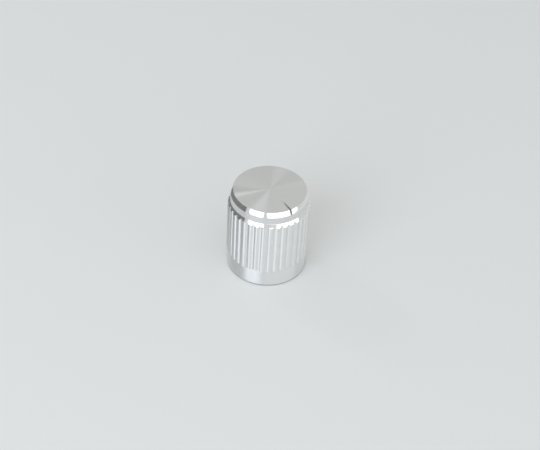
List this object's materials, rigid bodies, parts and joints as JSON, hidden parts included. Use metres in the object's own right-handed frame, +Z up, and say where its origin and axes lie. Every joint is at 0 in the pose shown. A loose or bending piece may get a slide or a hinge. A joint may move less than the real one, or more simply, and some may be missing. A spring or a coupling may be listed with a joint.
{
  "type": "control knob",
  "caption": "Turned aluminium control knob with ribbed grip, bright cut edges and an index line, for a round shaft held by a set screw.",
  "frame": {"origin": "centre of the base plane, on the shaft axis", "axes": "+Z up the shaft axis towards the face, -Y towards the index line, +Y towards the set screw"},
  "size_m": [0.015, 0.015, 0.017],
  "materials": {
    "satin_aluminium": "fine satin anodised, with a spun face and two diamond-cut edges",
    "screw_steel": "plain stainless steel"
  },
  "bodies": {
    "root": {"knob_body": "satin_aluminium", "set_screw": "screw_steel"}
  },
  "joints": []
}
